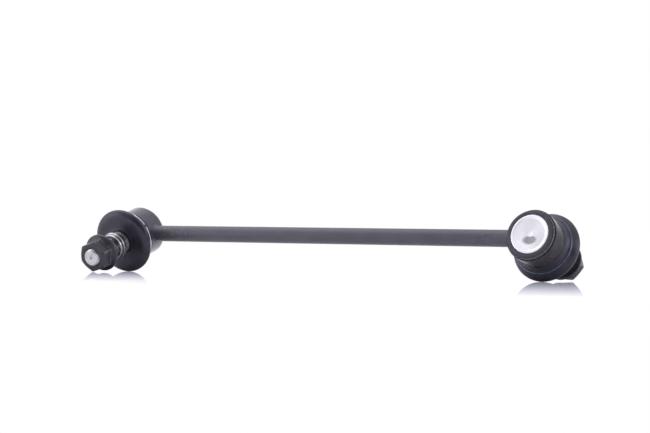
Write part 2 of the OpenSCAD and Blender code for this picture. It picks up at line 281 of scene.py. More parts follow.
def make_piece(name: str, grid: Array, edge: Optional[Array] = None, loop: bool = False,
               sharp_rows: tuple[int, ...] = ()) -> bpy.types.Object:
    """Makes a closed mesh from a grid whose columns go round.

    The rows are either a closed loop or end in fans round the middle of the first and the last row. The faces
    are turned outwards by the sign of the enclosed volume, which is a sixth of the sum of p0 . (p1 x p2).

    Args:
        name: the object's name.
        grid: points in metres, (rows, columns, 3).
        edge: wear weights, one for each row or each point.
        loop: whether the last row joins the first.
        sharp_rows: rows along which the shading breaks.

    Returns:
        The new object, at the origin.
    """
    rows, cols = grid.shape[:2]
    index = np.arange(rows * cols).reshape(rows, cols)
    low, high = (index, np.roll(index, -1, 0)) if loop else (index[:-1], index[1:])
    quads = np.stack([low, np.roll(low, -1, 1), np.roll(high, -1, 1), high], -1).reshape(-1, 4)
    points, fans = grid.reshape(-1, 3), np.zeros((0, 3), int)
    if not loop:
        points = np.concatenate([points, [grid[0].mean(0), grid[-1].mean(0)]])
        first = np.stack([np.roll(index[0], -1), index[0], np.full(cols, rows * cols)], -1)
        last = np.stack([index[-1], np.roll(index[-1], -1), np.full(cols, rows * cols + 1)], -1)
        fans = np.concatenate([first, last])
    corners = np.concatenate([quads[:, [0, 1, 2]], quads[:, [0, 2, 3]], fans])
    p = points[corners] - points.mean(0)
    if np.einsum("ij,ij->", p[:, 0], np.cross(p[:, 1], p[:, 2])) < 0:
        quads, fans = quads[:, ::-1], fans[:, ::-1]
    mesh = bpy.data.meshes.new(name)
    mesh.from_pydata(points.tolist(), [], quads.tolist() + fans.tolist())
    mesh.polygons.foreach_set("use_smooth", np.ones(len(mesh.polygons), bool))
    wear = np.zeros(len(points), np.float32)
    if edge is not None:
        wear[: rows * cols] = np.broadcast_to(edge if edge.ndim == 2 else edge[:, None], (rows, cols)).ravel()
    mesh.attributes.new("edge", "FLOAT", "POINT").data.foreach_set("value", wear)
    if sharp_rows:
        ends = np.zeros(2 * len(mesh.edges), np.int32)
        mesh.edges.foreach_get("vertices", ends)
        row = ends.reshape(-1, 2) // cols
        breaks = (row[:, 0] == row[:, 1]) & np.isin(row[:, 0], sharp_rows)
        mesh.attributes.new("sharp_edge", "BOOLEAN", "EDGE").data.foreach_set("value", breaks)
    mesh.update()
    piece = bpy.data.objects.new(name, mesh)
    bpy.context.scene.collection.objects.link(piece)
    LOG.info("%s: %d faces", name, len(mesh.polygons))
    return piece


Value = Union["Socket", float, Rgb]


class Socket:
    """A node's output that takes part in Python expressions; each operator adds one Math node."""

    def __init__(self, tree: "Tree", out: bpy.types.NodeSocket) -> None:
        """Wraps an output socket of a tree."""
        self.tree, self.out = tree, out

    def math(self, operation: str, other: Value = 0.0, swap: bool = False) -> "Socket":
        """Adds a Math node on this value and another.

        Args:
            operation: the Math node's operation.
            other: the second value.
            swap: whether the other value goes first.

        Returns:
            The node's result.
        """
        pair = (other, self) if swap else (self, other)
        return self.tree.add("ShaderNodeMath", {"operation": operation}, {0: pair[0], 1: pair[1]})

    def __add__(self, other: Value) -> "Socket":
        """self + other"""
        return self.math("ADD", other)

    def __sub__(self, other: Value) -> "Socket":
        """self - other"""
        return self.math("SUBTRACT", other)

    def __rsub__(self, other: Value) -> "Socket":
        """other - self"""
        return self.math("SUBTRACT", other, swap=True)

    def __mul__(self, other: Value) -> "Socket":
        """self * other"""
        return self.math("MULTIPLY", other)

    def __truediv__(self, other: Value) -> "Socket":
        """self / other"""
        return self.math("DIVIDE", other)

    def __rtruediv__(self, other: Value) -> "Socket":
        """other / self"""
        return self.math("DIVIDE", other, swap=True)

    def __pow__(self, other: Value) -> "Socket":
        """self ** other"""
        return self.math("POWER", other)

    __radd__ = __add__
    __rmul__ = __mul__


class Tree:
    """The node tree of a material or a world, with short ways to add to it."""

    def __init__(self, owner: Union[bpy.types.Material, bpy.types.World]) -> None:
        """Starts an empty tree.

        Args:
            owner: the material or world that the tree belongs to.
        """
        owner.use_nodes = True
        self.nodes, self.links = owner.node_tree.nodes, owner.node_tree.links
        self.nodes.clear()

    def add(self, kind: str, settings: Optional[dict] = None, sockets: Optional[dict] = None,
            out: Union[int, str] = 0) -> Socket:
        """Adds any node.

        Args:
            kind: the node's type.
            settings: its attributes, set first.
            sockets: values or links of its inputs, by name or number.
            out: which output to return.

        Returns:
            The chosen output.
        """
        node = self.nodes.new(kind)
        for key, value in (settings or {}).items():
            setattr(node, key, value)
        for key, value in (sockets or {}).items():
            if isinstance(value, Socket):
                self.links.new(value.out, node.inputs[key])
            elif isinstance(value, tuple) and node.inputs[key].type == "RGBA":
                node.inputs[key].default_value = (*value, 1.0)
            else:
                node.inputs[key].default_value = value
        return Socket(self, node.outputs[out]) if node.outputs else Socket(self, None)

    def coordinates(self, end: Optional[LinkEnd]) -> Socket:
        """The surface point in millimetres, in a ball joint's own frame, or in the row frame without an end.

        Args:
            end: the link's end whose frame is used.

        Returns:
            A vector.
        """
        turn = np.eye(3) if end is None else end.turn
        origin = np.zeros(3) if end is None else end.centre
        point = self.add("ShaderNodeTexCoord", out="Object")
        return self.add("ShaderNodeMapping", None, {
            "Vector": point, "Location": tuple(-(turn @ origin) / MM),
            "Rotation": tuple(Matrix(turn.tolist()).to_euler()), "Scale": (1 / MM,) * 3})

    def noise(self, at: Socket, size: float, detail: float = 2.0) -> Socket:
        """Smooth random values from 0 to 1 whose blots are about a size across, in millimetres."""
        return self.add("ShaderNodeTexNoise", None, {"Vector": at, "Scale": 1 / size, "Detail": detail})

    def lines(self, along: Socket, size: float) -> Socket:
        """Random values that change along one number only, as turning marks do."""
        return self.add("ShaderNodeTexNoise", {"noise_dimensions": "1D"}, {"W": along, "Scale": 1 / size})

    def split(self, at: Socket) -> tuple[Socket, Socket, Socket]:
        """The three numbers of a vector."""
        node = self.add("ShaderNodeSeparateXYZ", None, {0: at}).out.node
        return tuple(Socket(self, out) for out in node.outputs)

    def radius(self, at: Socket) -> Socket:
        """Distance from the stud's axis: the root of x squared plus y squared."""
        x, y, _ = self.split(at)
        return (x * x + y * y) ** 0.5

    def step(self, value: Socket, low: float, high: float) -> Socket:
        """A smooth rise from 0 at low to 1 at high."""
        return self.add("ShaderNodeMapRange", {"interpolation_type": "SMOOTHSTEP"},
                        {"Value": value, "From Min": low, "From Max": high})

    def blend(self, share: Value, a: Value, b: Value) -> Socket:
        """Mixes two colours."""
        return self.add("ShaderNodeMix", {"data_type": "RGBA"}, {0: share, 6: a, 7: b}, out=2)

    def worn(self) -> Socket:
        """The piece's own wear weights."""
        return self.add("ShaderNodeAttribute", {"attribute_name": "edge"}, out="Fac")

    def surface(self, height: Socket, **sockets: Value) -> None:
        """Ends the tree in one Principled shader.

        Args:
            height: relief in millimetres.
            sockets: the shader's inputs, with underscores for the spaces in their names.
        """
        inputs = {key.replace("_", " "): value for key, value in sockets.items()}
        inputs["Normal"] = self.add("ShaderNodeBump", None, {"Strength": 1.0, "Distance": MM, "Height": height})
        shader = self.add("ShaderNodeBsdfPrincipled", None, inputs)
        self.add("ShaderNodeOutputMaterial", None, {"Surface": shader})


@dataclass(frozen=True)
class Finish:
    """What one kind of surface looks like.

    Fields:
        slot: the record's material slot.
        colour: its main colour, linear.
        other: the colour that its blots, dust or worn places run to.
        roughness: its middle roughness.
    """

    slot: str
    colour: Rgb
    other: Rgb
    roughness: float

    def dress(self, piece: bpy.types.Object, end: Optional[LinkEnd] = None) -> None:
        """Gives a piece this finish; pieces of one end share the material.

        Args:
            piece: the piece to dress.
            end: the end in whose frame the finish is laid out, or none for the row frame.
        """
        label = f"{self.slot}_{end.side.value if end else LINK}_{type(self).__name__}"
        material = bpy.data.materials.get(label)
        if material is None:
            material = bpy.data.materials.new(label)
            tree = Tree(material)
            self.paint(tree, tree.coordinates(end))
        piece.data.materials.clear()
        piece.data.materials.append(material)

    def paint(self, tree: Tree, at: Socket) -> None:
        """Builds the material's nodes.

        Args:
            tree: the material's tree.
            at: the surface point in millimetres.
        """
        raise NotImplementedError


@dataclass(frozen=True)
class SatinPaint(Finish):
    """Black dipped paint on bar stock: orange peel, faint blots, dust, and weld spatter by the ends.

    Fields:
        spatter: colour of the spatter's rubbed tops.
        spatter_x: how far from the bar's middle the spatter starts.
        fade: the length over which it thickens.
        right_share: its strength at the right end.
    """

    spatter: Rgb = (0.17, 0.165, 0.205)
    spatter_x: float = 98.0
    fade: float = 16.0
    right_share: float = 0.3

    def paint(self, tree: Tree, at: Socket) -> None:
        """Blots shift colour and gloss a little, the peel is a relief of microns, and drops stand higher.

        Args:
            tree: the material's tree.
            at: the surface point in millimetres.
        """
        blots, peel, dust = tree.noise(at, 16), tree.noise(at, 0.9), tree.noise(at, 0.35, 0)
        specks = tree.step(dust, 0.72, 0.8) * 0.35
        x = tree.split(at)[0]
        left, right = (tree.step(s, self.spatter_x, self.spatter_x + self.fade) for s in (0 - x, x))
        drops = tree.step(tree.noise(at, 1.3, 0), 0.66, 0.74) * (left + self.right_share * right)
        colour = tree.blend(tree.step(blots, 0.35, 0.7) * 0.5 + specks, self.colour, self.other)
        colour = tree.blend(drops, colour, self.spatter)
        tree.surface(peel * 0.02 + dust * 0.006 + drops * 0.08, Base_Color=colour, Specular_Tint=VIOLET,
                     Roughness=self.roughness + 0.16 * (blots - 0.5) + 0.08 * (peel - 0.5))


@dataclass(frozen=True)
class CupPaint(Finish):
    """Black coat on the housing: smooth and glossier on the barrel, dull and torn on the crimped rim.

    Fields:
        rim_z: where the rim ends.
        rim: radius of the rim's outer edge.
        rubbed: colour of that edge, where the paint is worn and where a highlight is painted along it.
        coat: weight of the clear coat on the barrel.
        coat_ior: refraction of that coat; a low one shines at grazing angles only.
        shine: specular level of the paint below it.
    """

    rim_z: float = -7.0
    rim: float = 15.9
    rubbed: Rgb = (0.30, 0.29, 0.32)
    coat: float = 0.65
    coat_ior: float = 1.4
    shine: float = 0.5

    def paint(self, tree: Tree, at: Socket) -> None:
        """A step along the stud's axis splits the rim from the barrel; the rim's edge has worn paint and a
        painted highlight, in patches.

        Args:
            tree: the material's tree.
            at: the surface point in millimetres.
        """
        rim = 1 - tree.step(tree.split(at)[2], self.rim_z - 0.3, self.rim_z + 0.3)
        blots, torn, peel = tree.noise(at, 7), tree.noise(at, 0.8, 5), tree.noise(at, 0.4)
        specks = tree.step(tree.noise(at, 0.7, 3), 0.45, 0.65) * (1 - rim) * 0.3
        bare = (tree.step(torn, 0.55, 0.75) * 0.3 + 0.7) * rim + tree.worn() * 0.12 + specks
        bare = bare + tree.step(blots, 0.4, 0.7) * 0.2
        # Worn paint and a painted highlight on the rim's outer edge, in patches.
        edge = (1 - tree.step((tree.radius(at) - self.rim).math("ABSOLUTE"), 0.1, 0.5)) * rim
        colour = tree.blend(edge * (0.12 + 0.45 * tree.step(torn, 0.45, 0.58)),
                            tree.blend(bare, self.colour, self.other), self.rubbed)
        tree.surface(rim * torn * 0.16 + peel * 0.006, Base_Color=colour,
                     Roughness=self.roughness + rim * 0.25 + 0.1 * (blots - 0.5),
                     Coat_Weight=self.coat * (1 - 0.6 * rim), Coat_Roughness=0.06, Coat_IOR=self.coat_ior,
                     Specular_IOR_Level=self.shine, Specular_Tint=VIOLET)


@dataclass(frozen=True)
class CapPlate(Finish):
    """Bright plated sheet: fine rings from the press, cloudy stains, and a painted dark reflection and painted
    shade on the dish.

    Fields:
        dish: radius of the dish.
        smudge: middle of the painted dark reflection.
        spread: its half width and half height.
    """

    dish: float = 10.3
    smudge: tuple[float, float] = (-0.1, 3.6)
    spread: tuple[float, float] = (5.8, 3.8)

    def paint(self, tree: Tree, at: Socket) -> None:
        """Rings follow the radius; stains and the painted dark reflection shift colour and gloss.

        The painted dark reflection is an ellipse with a cloudy edge, (x / width)^2 + (y / height)^2 from its
        middle. The dish's centre stays clear of it, one side of the dish is darker as painted shade, and
        painted shade darkens the cap outwards and downwards.

        Args:
            tree: the material's tree.
            at: the surface point in millimetres.
        """
        x, y, _ = tree.split(at)
        radius, stains, grain = tree.radius(at), tree.noise(at, 5, 4), tree.noise(at, 0.5)
        rings = tree.lines(radius, 0.3)
        # Painted dark reflection below the dish's centre: an ellipse with a cloudy edge.
        off = ((x - self.smudge[0]) / self.spread[0]) ** 2 + ((y - self.smudge[1]) / self.spread[1]) ** 2
        clear = tree.step(radius + tree.step(y, 0.0, 3.0), 1.2, 2.6)
        reflection_patch = (1 - tree.step(off + 0.6 * (stains - 0.5), 0.1, 1.0)) * clear
        inside = 1 - tree.step(radius, self.dish - 0.4, self.dish + 0.2)
        # Painted shade on one side of the dish.
        dull_and_shaded = inside * tree.step(x - 0.4 * y, -5.0, 5.0) * clear * 0.3
        # Random stains, and painted shade that darkens the cap outwards and downwards.
        shade = tree.step(stains, 0.45, 0.75) * 0.08 + tree.step(0.6 * x + y, -4.0, 14.0) * 0.2
        colour = tree.blend(reflection_patch + dull_and_shaded + shade, self.colour, self.other)
        tree.surface(rings * 0.004 + grain * 0.004, Base_Color=colour, Metallic=1.0,
                     Roughness=self.roughness + 0.14 * (stains - 0.5) + 0.08 * (rings - 0.5) + reflection_patch * 0.1)


@dataclass(frozen=True)
class StudPlate(Finish):
    """Zinc-plated turned steel: tool marks, clouds, dull specks and painted shade behind the thread, and a band
    of painted shade on the collar.

    Fields:
        dull_z: where the dull part, darkened by painted shade, ends.
        band_z: middle of the band of painted shade on the collar's flank.
        band: half of the band's width.
        band_shade: colour of the band's painted shade.
    """

    dull_z: float = 38.0
    band_z: float = 31.0
    band: float = 0.5
    band_shade: Rgb = (0.05, 0.048, 0.056)

    def paint(self, tree: Tree, at: Socket) -> None:
        """Marks follow the height plus the radius, so that they run round sides and faces alike.

        Args:
            tree: the material's tree.
            at: the surface point in millimetres.
        """
        _, y, z = tree.split(at)
        marks = tree.lines(z + tree.radius(at), 0.16)
        clouds, grain, specks = tree.noise(at, 3.5, 4), tree.noise(at, 0.3), tree.noise(at, 0.7, 3)
        # Behind the thread the zinc is dull and speckled, and painted darker as shade behind the nut.
        dull_and_shaded = 1 - tree.step(z, self.dull_z, self.dull_z + 4)
        stain = tree.step(clouds, 0.42, 0.72) * 0.5 + dull_and_shaded * (0.3 + 0.7 * tree.step(specks, 0.4, 0.62))
        # Painted shade: a dark band on the collar's flank, on its lower side.
        band_shaded = 1 - tree.step((z - self.band_z).math("ABSOLUTE"), self.band, self.band + 0.5)
        band_shaded = band_shaded * tree.step(y, -10.0, -5.0) * 0.85
        colour = tree.blend(band_shaded, tree.blend(stain, self.colour, self.other), self.band_shade)
        tree.surface(marks * 0.006 + grain * 0.004 + dull_and_shaded * specks * 0.03, Base_Color=colour, Metallic=1.0,
                     Roughness=self.roughness + 0.16 * (clouds - 0.5) + 0.1 * (marks - 0.5) + dull_and_shaded * 0.08)


@dataclass(frozen=True)
class BootRubber(Finish):
    """Moulded black rubber: a fine spark-eroded grain and a pale bloom in patches."""

    def paint(self, tree: Tree, at: Socket) -> None:
        """The bloom lightens and dulls the rubber in patches.

        Args:
            tree: the material's tree.
            at: the surface point in millimetres.
        """
        bloom, grain, pores = tree.noise(at, 8, 4), tree.noise(at, 0.45, 3), tree.noise(at, 0.2, 0)
        dusty = tree.step(bloom, 0.38, 0.75)
        colour = tree.blend(dusty * 0.5 + tree.step(pores, 0.68, 0.8) * 0.25, self.colour, self.other)
        tree.surface(grain * 0.03 + pores * 0.012, Base_Color=colour,
                     Roughness=self.roughness + 0.14 * (dusty - 0.5) + 0.1 * (grain - 0.5),
                     Specular_IOR_Level=0.6, Specular_Tint=VIOLET)


@dataclass(frozen=True)
class DrawnWire(Finish):
    """Drawn spring wire, with scratches along it and a patchy temper colour.

    Fields:
        patch: size of the patches.
    """

    patch: float = 2.5

    def share(self, tree: Tree, patches: Socket, z: Socket) -> Socket:
        """How far the colour runs to the other one."""
        return tree.step(patches, 0.4, 0.7)

    def paint(self, tree: Tree, at: Socket) -> None:
        """Scratches follow the radius plus the height, which hardly change along a ring.

        Args:
            tree: the material's tree.
            at: the surface point in millimetres.
        """
        z, patches = tree.split(at)[2], tree.noise(at, self.patch, 3)
        drawn = tree.lines(tree.radius(at) + z, 0.07)
        colour = tree.blend(self.share(tree, patches, z), self.colour, self.other)
        tree.surface(drawn * 0.005, Base_Color=colour, Metallic=0.9,
                     Roughness=self.roughness + 0.12 * (patches - 0.5) + 0.1 * (drawn - 0.5))


@dataclass(frozen=True)
class WoundWire(DrawnWire):
    """Wire wound round the boot's neck: rubbed bright, but for darker turns near the middle.

    Fields:
        patch: size of the patches.
        middle: where the dark turns lie along the stud.
        half: half of their width.
    """

    patch: float = 1.2
    middle: float = 27.2
    half: float = 0.5

    def share(self, tree: Tree, patches: Socket, z: Socket) -> Socket:
        """The turns near the middle are darker, with a ragged edge, and so are patches of the others.

        Args:
            tree: the material's tree.
            patches: random values.
            z: the height along the stud.

        Returns:
            How far the colour runs to the darker one.
        """
        off = (z - self.middle).math("ABSOLUTE") + 2.0 * (patches - 0.5)
        return 1 - tree.step(off, self.half, self.half + 0.8) + tree.step(patches, 0.5, 0.7) * 0.6


@dataclass(frozen=True)
class BlackOxide(Finish):
    """Black phosphate on the nut: a dull grain, and edges brighter from rubbing and from a painted highlight.
    """

    def paint(self, tree: Tree, at: Socket) -> None:
        """Wear weights show the grey below the coat and a painted edge highlight, broken up by a grain.

        Args:
            tree: the material's tree.
            at: the surface point in millimetres.
        """
        grain, blots = tree.noise(at, 0.3, 3), tree.noise(at, 4, 3)
        # Worn edges and painted edge highlights, in blots.
        rub_and_highlight = tree.worn() * tree.step(blots, 0.3, 0.6) * 0.55
        colour = tree.blend(rub_and_highlight + tree.step(grain, 0.55, 0.8) * 0.25, self.colour, self.other)
        tree.surface(grain * 0.02, Base_Color=colour, Metallic=0.25,
                     Roughness=self.roughness + 0.16 * (blots - 0.5) - 0.1 * rub_and_highlight)


@dataclass(frozen=True)
class SeatResin(Finish):
    """Natural acetal resin with faint flow marks."""

    def paint(self, tree: Tree, at: Socket) -> None:
        """Flow marks shift the colour, and a fine grain dulls the gloss.

        Args:
            tree: the material's tree.
            at: the surface point in millimetres.
        """
        flow, grain = tree.noise(at, 3, 3), tree.noise(at, 0.4)
        tree.surface(grain * 0.004, Base_Color=tree.blend(flow, self.colour, self.other),
                     Roughness=self.roughness + 0.1 * (grain - 0.5))


ROD_PAINT = SatinPaint("rod_paint", (0.070, 0.067, 0.081), (0.096, 0.092, 0.109), 0.40)
# Lit and shaded copies of one housing paint: the right cup's darker colour is painted shade.
LIT_CUP = CupPaint("housing_paint", (0.034, 0.032, 0.046), (0.094, 0.090, 0.114), 0.26)
SHADED_CUP = CupPaint("housing_paint", (0.012, 0.011, 0.017), (0.098, 0.093, 0.113), 0.34,
                    coat=1.0, coat_ior=1.12, shine=0.1)
CAP_PLATE = CapPlate("cap_plate", (0.97, 0.96, 0.98), (0.30, 0.30, 0.34), 0.24)
STUD_PLATE = StudPlate("stud_zinc", (0.55, 0.535, 0.56), (0.26, 0.26, 0.28), 0.20)
BOOT_RUBBER = BootRubber("boot_rubber", (0.012, 0.011, 0.019), (0.042, 0.040, 0.058), 0.36)
# Lit and shaded copies of one clip wire: a painted glint for the left clip and painted shade for the right.
LIT_CLIP_WIRE = DrawnWire("clip_steel", (0.90, 0.91, 0.94), (0.80, 0.82, 0.87), 0.30)
SHADED_CLIP_WIRE = DrawnWire("clip_steel", (0.12, 0.18, 0.27), (0.07, 0.10, 0.16), 0.30)
GREY_WIRE = WoundWire("neck_clip_steel", (0.20, 0.20, 0.215), (0.028, 0.028, 0.034), 0.30)
NUT_BLACK = BlackOxide("nut_black", (0.029, 0.027, 0.041), (0.17, 0.165, 0.19), 0.34)
SEAT_RESIN = SeatResin("seat_plastic", (0.80, 0.79, 0.73), (0.74, 0.72, 0.66), 0.42)
SPRING_STEEL = StudPlate("spring_steel", (0.34, 0.35, 0.39), (0.24, 0.25, 0.28), 0.38)


@dataclass
class Rod:
    """The straight bar, flared at both ends into the weld.

    Fields:
        radius: the bar's radius.
        weld_h: how far the weld stands out of the bar.
        weld_l: length of the weld along the bar.
        sunk: how deep the bar's end lies in the barrel.
        ripples: solidified waves round a weld.
        ripple_h: their height.
        spans: rows of faces between the two tips.
    """

    radius: float = 5.5
    weld_h: float = 0.6
    weld_l: float = 3.4
    sunk: float = 0.6
    ripples: int = 34
    ripple_h: float = 0.05
    spans: int = 60

    def tip(self, end: LinkEnd, around: Array) -> Array:
        """One end of the bar, from its plain part to the barrel.

        The flare's radius and its distance from the barrel follow a cubic. On the line at angle a, the barrel
        lies sqrt(barrel^2 - (r u)^2) before the ball centre, where u is the share of the radius that runs
        square to both bar and stud. Ripples move the radius by a few hundredths near the barrel.

        Args:
            end: the end of the link.
            around: angles round the bar.

        Returns:
            A grid of points in millimetres from the bar's middle, (rows, angles, 3).
        """
        length, foot = self.weld_l, self.radius + self.weld_h
        line = curve((self.radius, length), (0, -0.7 * length), (0.8 * self.weld_h, -0.1 * length),
                     (foot, 0), 14)
        line = joined((self.radius, 3 * length), line, (foot - 0.3, -self.sunk))
        wave = np.sin(self.ripples * around) * np.clip(1 - line[:, 1:] / length, 0, 1) ** 2
        r = line[:, :1] + self.ripple_h * wave
        y, z = r * np.cos(around), r * np.sin(around)
        across = y * end.turn[1, 1] + z * end.turn[1, 2]
        x = abs(end.centre[0]) / MM - np.sqrt(BARREL**2 - across**2) - line[:, 1:]
        return np.stack([math.copysign(1.0, end.centre[0]) * x, y, z], -1)

    def bar(self, ends: list[LinkEnd]) -> bpy.types.Object:
        """The bar: both tips and straight lines between them.

        Args:
            ends: left and right end.

        Returns:
            The bar.
        """
        around = angles(4 * self.ripples)
        left, right = (self.tip(end, around) for end in ends)
        t = np.linspace(0.0, 1.0, self.spans + 1)[1:-1, None, None]
        middle = (1 - t) * left[0] + t * right[0]
        grid = np.concatenate([left[::-1], middle, right])
        grid[..., 2] += ends[0].centre[2] / MM
        piece = make_piece("rod_bar", MM * grid)
        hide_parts("rod")
        ROD_PAINT.dress(piece)
        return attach(piece, LINK)


@dataclass
class Housing:
    """The forged cup with its crimped rim, and the cap that the rim holds.

    Fields:
        barrel: the barrel's radius.
        crimp_in: inner radius of the crimped rim.
        crimp: its outer radius, beside the barrel.
        crimp_z: back of the rim.
        crimp_flat: width of the rim's flat back.
        crimp_fall: height of the shoulder round it.
        tool_mark: depth of the fine groove that the crimping tool leaves between rim and barrel.
        waves: the rim's unevenness: waves round it and their shifts, in radians.
        uneven: height of these waves, as a share of the radius.
        back_z: back of the barrel.
        front_z: front of the barrel.
        groove: radius at the floor of the boot's groove.
        lip: radius of the nose's lip.
        lip_z: back of the lip.
        nose_z: front of the nose.
        mouth: radius of the flared mouth at the nose.
        throat: radius of the mouth behind.
        shoulder_z: shoulder that the front seat rests on.
        bore: radius of the seats' bore.
        ledge_z: ledge that the cap rests on.
        cap: the cap's radius.
        edge_z: back of the cap's edge.
        ring_z: back of the cap's raised ring.
        land: width of that ring.
        dish: how far the middle of the cap's dish lies in front of its edge.
        columns: points round the cup.
        cap_columns: points round the cap.
    """

    barrel: float = BARREL
    crimp_in: float = 12.9
    crimp: float = 16.3
    crimp_z: float = -9.8
    crimp_flat: float = 2.3
    crimp_fall: float = 1.4
    tool_mark: float = 0.4
    waves: tuple[tuple[int, float], ...] = ((7, 1.0), (19, 0.0), (33, 2.0), (58, 0.0))
    uneven: float = 0.006
    back_z: float = -6.9
    front_z: float = 7.2
    groove: float = 15.297
    lip: float = 16.497
    lip_z: float = 12.0
    nose_z: float = 13.5
    mouth: float = 11.497
    throat: float = 7.898
    shoulder_z: float = 4.8
    bore: float = 11.25
    ledge_z: float = -7.75
    cap: float = 13.8
    edge_z: float = -9.0
    ring_z: float = -9.6
    land: float = 1.15
    dish: float = 0.45
    columns: int = 240
    cap_columns: int = 160

    def cup(self, end: LinkEnd) -> bpy.types.Object:
        """The cup: its closed section spun round the stud's axis.

        Each corner of the section is a radius, a height and a rounding. The rim is uneven: its points move
        outwards by the mean of sines of the angle, weighted by how far they lie behind the barrel.

        Args:
            end: the end that carries it.

        Returns:
            The cup.
        """
        seat, mark = self.cap + 0.05, self.crimp - self.tool_mark
        section = np.array([
            (self.crimp_in, self.edge_z, 0.1), (self.crimp_in, self.crimp_z, 0.2),
            (self.crimp_in + self.crimp_flat, self.crimp_z, 1.0),
            (self.crimp - 0.1, self.crimp_z + self.crimp_fall, 0.8), (self.crimp, self.back_z - 0.35, 0.15),
            (mark, self.back_z - 0.25, 0.08), (mark, self.back_z, 0.08), (self.barrel, self.back_z, 0.4),
            (self.barrel, self.front_z, 0.6), (self.groove, self.front_z, 0.2),
            (self.groove, self.lip_z, 0.2), (self.lip, self.lip_z, 0.6), (self.lip, self.nose_z, 0.6),
            (self.mouth, self.nose_z, 0.3), (self.throat, self.shoulder_z, 0.2),
            (self.bore, self.shoulder_z, 0.1), (self.bore, self.ledge_z, 0.1), (seat, self.ledge_z, 0.1),
            (seat, self.edge_z, 0.05)])
        line, wear = soften(section[:, :2], section[:, 2], closed=True, steps=10)
        around = angles(self.columns)
        grid = spin(line, around)
        wave = np.mean([np.sin(count * around + shift) for count, shift in self.waves], axis=0) - 0.6
        behind = np.clip((self.back_z - 0.3 - line[:, 1]) / 1.2, 0, 1) * (line[:, 0] > self.crimp_in + 0.2)
        grid[..., :2] *= 1 + self.uneven * (behind[:, None] * wave)[..., None]
        piece = make_piece(end.name("cup"), end.place(grid), wear, loop=True)
        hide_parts(end.name("housing"))
        # The right cup takes the shaded copy, whose darker colour is painted shade.
        (LIT_CUP if end.side is Side.LEFT else SHADED_CUP).dress(piece, end)
        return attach(piece, LINK)

    def closing_cap(self, end: LinkEnd) -> bpy.types.Object:
        """The cap: flat inside, with an edge, a raised ring and a shallow dish outside, spun round the axis.

        Args:
            end: the end that carries it.

        Returns:
            The cap.
        """
        ring, dish_z = self.crimp_in - 0.05, self.edge_z + self.dish
        section = np.array([
            (0.3, self.ledge_z, 0), (self.cap, self.ledge_z, 0.15), (self.cap, self.edge_z, 0.2),
            (ring, self.edge_z, 0.08), (ring, self.ring_z, 0.45), (ring - self.land, self.ring_z, 0.3),
            (ring - 2.2, self.ring_z + 0.16, 0.4), (ring - 4.2, self.ring_z + 0.36, 0.8), (1.2, dish_z, 0.5),
            (0.3, dish_z + 0.03, 0)])
        line, wear = soften(section[:, :2], section[:, 2], closed=False, steps=8)
        piece = make_piece(end.name("bright_cap"), end.place(spin(line, angles(self.cap_columns))), wear)
        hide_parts(end.name("cap"))
        CAP_PLATE.dress(piece, end)
        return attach(piece, LINK)

    def inside(self, end: LinkEnd) -> None:
        """Dresses the seats and the disc spring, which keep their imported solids.

        Args:
            end: the end that carries them.
        """
        parts = {"disc_spring": SPRING_STEEL, "rear_seat": SEAT_RESIN, "front_seat": SEAT_RESIN}
        for part, finish in parts.items():
            finish.dress(frame["nodes"][end.name(part)], end)
            LOG.info("%s: packed solid", end.name(part))


